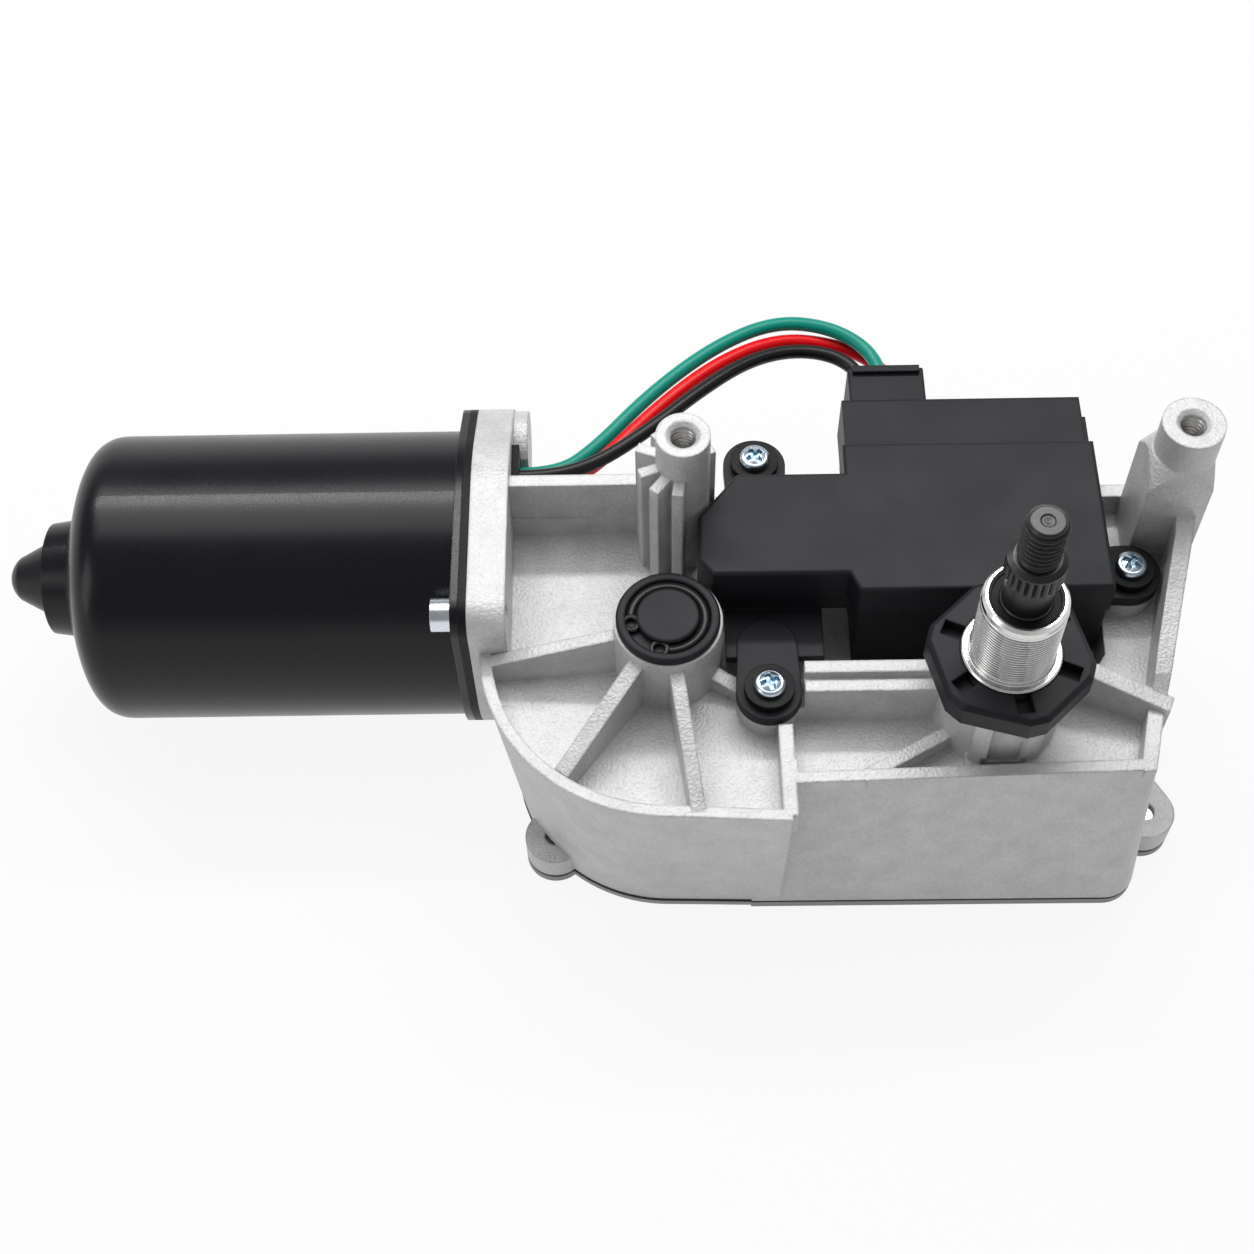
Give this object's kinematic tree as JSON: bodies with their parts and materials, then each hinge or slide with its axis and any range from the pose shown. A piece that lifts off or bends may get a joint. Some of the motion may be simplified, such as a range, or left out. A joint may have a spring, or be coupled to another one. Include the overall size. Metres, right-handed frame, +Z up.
{
  "type": "wiper motor",
  "caption": "Wiper motor with a round can, a worm gear casting with a crank linkage inside, an output shaft in a threaded sleeve, two posts and a wired control box.",
  "frame": {"origin": "where the output shaft's axis meets the resting face of the bottom cover", "axes": "+Z up along the output shaft, +X along the motor axis away from the can, +Y towards the plug"},
  "size_m": [0.2492, 0.1226, 0.1124],
  "materials": {
    "black_paint": "satin black paint",
    "cast_aluminium": "as-cast, fine grain",
    "zinc_steel": "bright zinc plate",
    "steel": "machined",
    "bright_steel": "machined, threaded outside",
    "black_oxide": "black oxide",
    "black_plastic": "fine grained",
    "grey_plastic": "moulded",
    "gear_plastic": "moulded",
    "black_rubber": "matt",
    "green_rubber": "wire insulation",
    "red_rubber": "wire insulation",
    "copper": "copper",
    "bronze": "sintered bronze",
    "ferrite": "pressed ferrite",
    "lamination": "laminated sheet",
    "board": "circuit board",
    "carbon": "carbon"
  },
  "bodies": {
    "housing": {"motor_can": "black_paint", "thrust_cap": "black_paint", "can_gasket": "black_rubber", "can_screws": "zinc_steel", "magnets": "ferrite", "rear_bearing": "bronze", "front_bearing": "bronze", "worm_end_bush": "bronze", "brush_holder": "grey_plastic", "brushes": "carbon", "brush_springs": "steel", "gear_housing": "cast_aluminium", "cover_gasket": "black_rubber", "bottom_cover": "zinc_steel", "cover_screws": "zinc_steel", "gear_shaft": "steel", "gear_clip": "steel", "lower_bush": "bronze", "upper_bush": "bronze", "shaft_seal": "black_rubber", "mounting_sleeve": "bright_steel", "hex_collar": "black_plastic", "boss_cap": "black_plastic", "retaining_ring": "black_oxide", "controller_base": "black_plastic", "controller_lid": "black_plastic", "circuit_board": "board", "connector_plug": "black_plastic", "box_grommets": "black_rubber", "box_screws": "zinc_steel", "wire_grommet": "black_rubber", "wire_green": "green_rubber", "wire_red": "red_rubber", "wire_black": "black_rubber"},
    "armature": {"armature_shaft": "steel", "armature_core": "lamination", "windings": "copper", "commutator": "copper"},
    "gear": {"worm_gear": "gear_plastic", "crank_pin": "steel", "crank_clip": "steel"},
    "rod": {"connecting_rod": "zinc_steel"},
    "output": {"output_shaft": "black_oxide", "rocker_arm": "steel", "rocker_pin": "steel", "thrust_washer": "bronze"}
  },
  "joints": [
    {"name": "armature_spin", "type": "hinge", "parent": "housing", "child": "armature", "pos_m": [-0.0635, 0.043, 0.033], "axis": [1, 0, 0], "continuous": true},
    {"name": "gear_spin", "type": "hinge", "parent": "housing", "child": "gear", "pos_m": [-0.0635, 0.01275, 0.033], "axis": [0, 0, 1], "continuous": true},
    {"name": "rod_pivot", "type": "hinge", "parent": "gear", "child": "rod", "pos_m": [-0.0495, 0.01275, 0.015], "axis": [0, 0, 1], "continuous": true},
    {"name": "wiper_swing", "type": "hinge", "parent": "housing", "child": "output", "pos_m": [0, 0, 0.06], "axis": [0, 0, 1], "range_deg": [-55, 55]}
  ],
  "couplings": [
    {"joint": "gear_spin", "follows": "armature_spin", "ratio": 0.019608},
    {"joint": "rod_pivot", "follows": "armature_spin", "ratio": -0.019608}
  ]
}
